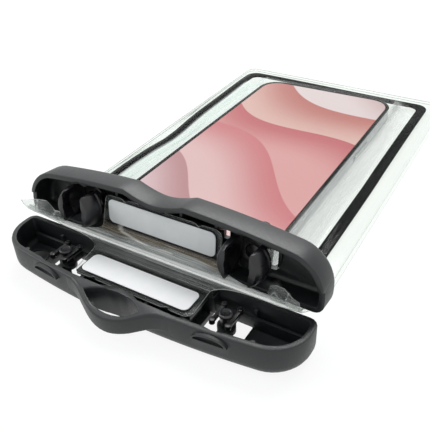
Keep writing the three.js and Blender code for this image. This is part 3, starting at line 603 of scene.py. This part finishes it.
def pulled(start, pull, end, steps=8):
    """Points of a curve from start to end that bends towards pull, without its start."""
    a, b, c = Vector(start), Vector(pull), Vector(end)
    return [a.lerp(b, i / steps).lerp(b.lerp(c, i / steps), i / steps) for i in range(1, steps + 1)]


def steps_between(start, end, count):
    """Evenly spaced values from start to end, both included."""
    return [start + (end - start) * i / count for i in range(count + 1)]


def well_inside(points, edge, gap):
    """The points inside a closed outline that keep a gap to it."""
    a = np.array([tuple(p) for p in edge])
    b = np.roll(a, -1, axis=0)
    d = b - a
    p = np.array(points)
    rel = p[:, None] - a[None]
    t = np.clip((rel * d).sum(-1) / (d * d).sum(-1), 0, 1)
    near = np.linalg.norm(rel - t[..., None] * d, axis=-1).min(1)
    spans = (a[:, 1] > p[:, 1, None]) != (b[:, 1] > p[:, 1, None])
    slope = d[:, 0] / np.where(d[:, 1] == 0, 1, d[:, 1])
    crosses = spans & (p[:, 0, None] < slope * (p[:, 1, None] - a[:, 1]) + a[:, 0])
    return p[(near > gap) & (crosses.sum(1) % 2 == 1)]


# How far behind the jaws the film's look turns from the mouth's to the bag's.
MOUTH_FINISH = 8.0


def film_sheet(name, outline, columns, rows, spot, look, finishes):
    """A film cut to a plan outline and laid where spot(x, y) says, all in mm, with real thickness.

    finishes are the materials of the sheet and its cut edge, and of the same past the jaws if any.
    """
    gap = 0.3 * min(b - a for a, b in zip(columns, columns[1:]))
    grid = well_inside([(x, y) for y in rows for x in columns], outline, gap)
    points = [Vector(p) for p in outline] + [Vector(p) for p in grid]
    flat, _, faces, *_ = geometry.delaunay_2d_cdt(points, [], [list(range(len(outline)))], 1, 1e-6)
    mesh = bpy.data.meshes.new(name)
    mesh.from_pydata([Vector(spot(p.x, p.y)) * MM for p in flat], [], faces)
    looks = [look(p.x, p.y) for p in flat]
    plan = mesh.attributes.new("plan", "FLOAT_VECTOR", "POINT")
    plan.data.foreach_set("vector", [v for p in flat for v in (p.x * MM, p.y * MM, 0.0)])
    veil_and_painted_light = mesh.attributes.new("veil_and_painted_light", "FLOAT_COLOR", "POINT")
    veil_and_painted_light.data.foreach_set("color", [v for tint in looks for v in tint[:4]])
    crease_glint = mesh.attributes.new("crease_glint", "FLOAT", "POINT")
    crease_glint.data.foreach_set("value", [tint[4] for tint in looks])
    for finish in finishes:
        mesh.materials.append(finish)
    if len(finishes) > 2:
        for face in mesh.polygons:
            centre = sum((flat[i].y for i in face.vertices)) / len(face.vertices)
            face.material_index = 2 if centre > REAR + MOUTH_FINISH else 0
    piece = bpy.data.objects.new(name, mesh)
    bpy.context.scene.collection.objects.link(piece)
    select_only(piece)
    wall = piece.modifiers.new("wall", "SOLIDIFY")
    wall.thickness = FILM * MM
    wall.offset = 0
    wall.material_offset_rim = 1
    bpy.ops.object.modifier_apply(modifier="wall")
    bpy.ops.object.shade_smooth_by_angle(angle=math.radians(50))
    return piece


def layered(*layers):
    """A film's look from layers of (weight, tint, milkiness, creases), each over those before it; tints
    and creases carry painted shade and painted highlights in places.
    """
    tint, milk, crease_glint = Vector(linear("EEF2F0")[:3]), 0.0, 0.0
    for weight, code, haze, folds in layers:
        tint = tint.lerp(Vector(linear(code)[:3]), weight)
        milk += (haze - milk) * weight
        crease_glint += (folds - crease_glint) * weight
    return (*tint, milk, crease_glint)


def ripple(x, y, across, along, seed):
    """Long soft folds: across and along are their wavelengths in mm. Between -1 and 1."""
    return 2 * noise.noise(Vector((x / across, y / along, seed)))


# The sheets' tabs have a small notch at each side in front and flare out to the rear rims behind.
NOTCH_AT = 14.4
NOTCH = 0.9
TAB_CORNER = 2.8
FLARE_END = 44.0
FLARE_WIDTH = 0.9


def mouth_edge(reach):
    """Outline of a sheet's mouth end from its right side to its left, seen from above."""
    corner = TAB_HALF - TAB_CORNER
    front = [
        (x, REAR - reach + NOTCH * math.exp(-(((abs(x) - NOTCH_AT) / NOTCH) ** 2)))
        for x in steps_between(corner, -corner, 80)
    ]
    end = (FLARE_END, REAR - FLARE_WIDTH)
    right = [(MOUTH_RIGHT, REAR - 0.2), end]
    right += pulled(end, (TAB_HALF + 2.2, REAR - 0.2), (TAB_HALF + 0.3, REAR - 5.2), 12)
    side = (TAB_HALF + 0.1, REAR - reach + 3.0)
    right += [side, *pulled(side, (TAB_HALF, REAR - reach), (corner, REAR - reach), 6)[:-1]]
    left = [(-x, y) for x, y in reversed(right[1:])]
    return [*right, *front, *left, (MOUTH_LEFT, REAR - 0.2)]


def bag_edge(inset):
    """Outline of a sheet's bag end from its left side round to its right."""
    left, right, far = bag_low.x + inset, bag_high.x - inset, bag_high.y - inset
    c = BAG_CORNER
    return [
        (left, DRAPE_END), (left, far - c), *pulled((left, far - c), (left, far), (left + c, far)),
        (right - c, far), *pulled((right - c, far), (right, far), (right, far - c)),
        (right, DRAPE_END),
    ]


def lower_height(y):
    """Middle of the lower sheet: tab, rise over the seal, rear rim, ramp and table."""
    return float(np.interp(y, *zip(*LOWER_PROFILE)))


def lower_spot(x, y):
    slack = 0.12 * eased(y, REAR + 14, REAR + 30) * (1 + ripple(x, y, across=6, along=30, seed=3.1))
    return x, y, lower_height(y) + slack + seam_rise(x, y)


OVER_RIM = 0.5
OVER_PHONE = 0.45
SHEET_GAP = 0.35 + FILM
BORDER_GAP = 1.05
TENT_TOP = 1.0
TENT_FOOT = 9.5


def upper_height(x, y):
    """Middle of the upper sheet: a tent over the phone with folds down its sides."""
    run = held(y, MOUTH, DRAPE_END)
    mouth_z = RIM + OVER_RIM
    crown = mouth_z + (phone_high.z + OVER_PHONE - mouth_z) * run
    flange = lower_height(y) + SHEET_GAP + BORDER_GAP * run + seam_rise(x, y)
    outside = beyond_phone(x, y)
    tent = 1 - eased(outside, TENT_TOP, TENT_FOOT)
    sides = eased(outside, 0.5, 3.0) * (1 - eased(outside, 11.0, 13.0))
    sides *= 1 - eased(y, phone_high.y - 10, phone_high.y - 2)
    broad = ripple(x, y, across=3.2, along=45, seed=7.7)
    fine = ripple(x, y, across=1.8, along=22, seed=2.3)
    folds = 0.5 * sides * (0.6 + broad + 0.5 * fine)
    gather = 1 + ripple(x, y, across=4.0, along=20, seed=5.1)
    gather *= 0.3 * (1 - eased(y, REAR + 6, REAR + 30)) * run
    return flange + (crown - flange + gather) * tent + max(folds, -0.2)


def opened(x, y, shut, share=1.0):
    """Where a point of the upper jaw's side goes, drawn shut, once the jaws stand open."""
    turn = -TURN * share
    dy, dz = y - HINGE.y, shut - HINGE.z
    return (
        x,
        HINGE.y + dy * math.cos(turn) - dz * math.sin(turn),
        HINGE.z + dy * math.sin(turn) + dz * math.cos(turn),
    )


def upper_spot(x, y):
    """A point of the upper sheet: its plan is drawn shut, and its mouth end is folded open here."""
    if y >= MOUTH:
        return x, y, upper_height(x, y)
    shut = UPPER_BAND + (UPPER_TAB - UPPER_BAND) * held(y, TAB_RISE, TAB_STEP)
    shut += (upper_height(x, MOUTH) - UPPER_BAND) * held(y, REAR, MOUTH)
    loose = held(y, REAR - 5.4, REAR - 4.6) * (1 - eased(y, REAR - 2.2, REAR - 0.6))
    shut += 0.22 * loose * (1 + ripple(x, y, across=6, along=2.5, seed=9.4))
    return opened(x, y, shut, eased(y, MOUTH, REAR - 0.2))


def stripe(value, start, end, soft):
    """1 between start and end, with edges that fade over soft to both sides."""
    return eased(value, start - soft, start + soft) * (1 - eased(value, end - soft, end + soft))


# Painted glint lines over the seal's ridges, as distance from the rear rim and strength.
RIDGE_LINES = [(1.9, 0.55), (2.6, 0.2), (3.3, 0.4), (4.1, 0.25), (4.8, 0.4)]


def lower_look(x, y):
    """Clear film, with a painted highlight over the rear rim and painted glint lines over the seal's
    ridges.
    """
    w = REAR - y
    rim = stripe(w, -1.2, 1.4, 0.4)
    ridges = stripe(w, 1.8, 5.6, 0.4)
    margin = eased(w, 5.6, 6.4)
    line = max(share * (1 - eased(abs(w - at), 0.05, 0.35)) for at, share in RIDGE_LINES)
    # Painted light: the rear rim's band and the ridge lines are painted highlights, whiter and set to
    # glint.
    return layered(
        (rim, "E9EDEC", 0.30, 0.8), (ridges, "C8CCCA", 0.02, 0.1), (margin, "8E9391", 0.07, 0.05),
        (line, "E2E6E5", 0.55, 0.8),
    )


# The fold's course as pairs of x and distance from the rear rim.
FOLD_LINE = [(-18.6, 7.4), (-17.0, 6.2), (-14.9, 4.7), (-10.7, 3.3), (-3.3, 2.2), (4.8, 2.7)]


def near_fold(x, w):
    """How near a point is to the fold that runs down from the upper label's left end, along which a
    highlight is painted: 1 on it.
    """
    before, at, after = [np.interp(x + step, *zip(*FOLD_LINE)) for step in (-0.5, 0, 0.5)]
    steep = 1 + abs(after - before)
    return 1 - eased(abs(w - at) / steep, 0.1, 0.6)


BORDER_STRIP = 4.5
BORDER_SLACK = 0.5


def upper_look(x, y):
    """Clear film with painted highlights at the hinge fold and along the fold from the upper label,
    whitened at the phone's sides with a painted shade by the right one, and a painted brown shade before
    the label.
    """
    w = REAR - y
    if w > REAR - MOUTH:
        top = 2.4 + 1.6 * eased(x, -18, 6) * (1 - eased(x, 12, 26))
        band = eased(w, -1.5, -0.8) * (1 - eased(w, top - 0.7, top + 0.7))
        hinge = stripe(w, -0.45, 0.45, 0.25)
        brown_shade = eased(w, top - 0.7, top + 0.7) * (1 - eased(w, 5.2, 6.0))
        under_label = eased(w, 5.0, 5.8) * (1 - eased(w, 6.3, 6.9))
        margin = eased(w, 6.3, 6.9)
        line = near_fold(x, w) if FOLD_LINE[0][0] - 0.4 < x < FOLD_LINE[-1][0] + 0.2 else 0.0
        # Painted light: the brown band and the dark band under the label are painted shade, and the fold
        # line and the hinge stripe are painted highlights.
        return layered(
            (brown_shade, "867D6E", 0.72, 0.25), (under_label, "2E2B27", 0.6, 0.1),
            (margin, "7C8080", 0.10, 0.05), (band, "D6DBD9", 0.40, 0.6), (line, "E8E6E0", 0.7, 0.6),
            (hinge, "FFFFFF", 1.0, 1.0),
        )
    inside_border = border_high.x - BORDER_STRIP - BORDER_SLACK
    before_end = 1 - eased(y, phone_high.y - 4, phone_high.y + 3)
    right_strip = eased(x, phone_high.x + 1.0, phone_high.x + 2.0) * (
        1 - eased(x, inside_border - 0.6, inside_border)
    )
    right_strip *= before_end
    phone_shade = right_strip * (1 - eased(x, phone_high.x + 3.0, phone_high.x + 6.0))
    left_strip = eased(-x, 0.2 - phone_low.x, 1.4 - phone_low.x) * (
        1 - eased(border_low.x + BORDER_STRIP + BORDER_SLACK - x, -0.6, 0.0)
    )
    flange = eased(beyond_phone(x, y), 17.0, 18.0)
    # The darker grey band by the phone's right side is painted shade.
    return layered(
        (right_strip, "ECEEED", 0.34, 0.2), (phone_shade, "9A9E9C", 0.42, 0.05),
        (left_strip * before_end, "D6E2DD", 0.46, 0.25), (flange, "D5DAD8", 0.03, 0.15),
    )


mouth_film = film_finish("clear_tpu_film_at_mouth_painted_light", (28.0, 0.5))
bag_film = film_finish("clear_tpu_film_of_bag_painted_light", (4.2, 80.0))
# The film's cut edges are pale opaque plastic: painted highlight lines.
film_cut_glint = moulded("cut_film_edge_painted_highlight", "DDE3E0", "F4F7F6", 0.2, 1.5, 0.1)
columns = steps_between(MOUTH_LEFT - 3, MOUTH_RIGHT + 1, 122)
near_rows = steps_between(REAR - 17, REAR - 6, 12) + steps_between(TAB_STEP, MOUTH, 36)
far_rows = steps_between(REAR + 2.2, bag_high.y, 140)
lower_sheet = film_sheet(
    "lower_film", mouth_edge(16.4) + bag_edge(0.0),
    columns, near_rows + far_rows, lower_spot, lower_look, (mouth_film, film_cut_glint, bag_film, film_cut_glint),
)
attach(lower_sheet, "base")
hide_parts("bag_bottom_film")
upper_sheet = film_sheet(
    "upper_film", mouth_edge(16.0) + bag_edge(0.8),
    columns, near_rows + far_rows, upper_spot, upper_look, (mouth_film, film_cut_glint, bag_film, film_cut_glint),
)
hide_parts("bag_top_film", "upper_mouth_film")
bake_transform(upper_sheet)


# Film ears
# The ends of the upper sheet's mouth stick out as loose corners, crumpled by use.
# They stand towards the lower jaw while the clamp is open.
EAR_GAP = 0.1
FOLD_HEIGHT = 2.0
FOLD_STRETCH = 2.2


def film_ear(name, outline, stand, fold_mm, seed):
    """A loose corner cut to an outline of x and distance from the rear rim.

    stand(x, w) is how far it stands off the film behind it, and folds crumple it.
    """

    def crumple(x, y):
        return abs(noise.noise(Vector((x / fold_mm, y / (FOLD_STRETCH * fold_mm), seed))))

    def spot(x, y):
        free = eased(REAR - y, -0.2, 1.6)
        off = stand(x, REAR - y) + FOLD_HEIGHT * crumple(x, y)
        return opened(x, y, UPPER_BAND - FILM - EAR_GAP - free * off)

    def look(x, y):
        # Painted highlight: the ridges of the crumples are whitened and set to glint.
        ridge = 1 - eased(crumple(x, y), 0.0, 0.05)
        return layered((1.0, "D9DFDC", 0.14, 0.25), (ridge, "F8FAFA", 0.7, 0.8))

    lows = [min(p[i] for p in outline) for i in (0, 1)]
    highs = [max(p[i] for p in outline) for i in (0, 1)]
    plan = [(x, REAR - w) for x, w in outline]
    ear = film_sheet(
        name, plan, steps_between(lows[0], highs[0], 34),
        steps_between(REAR - highs[1], REAR - lows[1], 22), spot, look, (mouth_film, film_cut_glint),
    )
    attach(ear, "clamp_lid")
    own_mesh(ear)


def left_stand(x, w):
    return 0.6 * eased(-x, 44, 58)


def right_stand(x, w):
    return 0.4 + 2.4 * eased(x, 44, 51) * (1 - eased(w, 0.5, 4.0))


film_ear(
    "left_film_ear",
    [
        (-41.4, 4.1), (-45.5, 3.8), (-46.6, 5.9), (-47.9, 7.6), (-51.5, 6.8), (-55.9, 5.8),
        (-61.0, 4.3), (-60.2, 2.6), (-56.7, 0.2), (-50.0, 0.0), (-42.0, 0.0),
    ],
    left_stand, 6.5, 4.2,
)
film_ear(
    "right_film_ear",
    [
        (41.2, 5.2), (43.0, 6.1), (45.6, 5.9), (48.6, 3.9), (50.8, 3.3), (51.8, 1.4), (51.4, -0.2),
        (46.0, -0.2), (41.8, 0.0), (40.6, 2.6),
    ],
    right_stand, 4.6, 8.9,
)
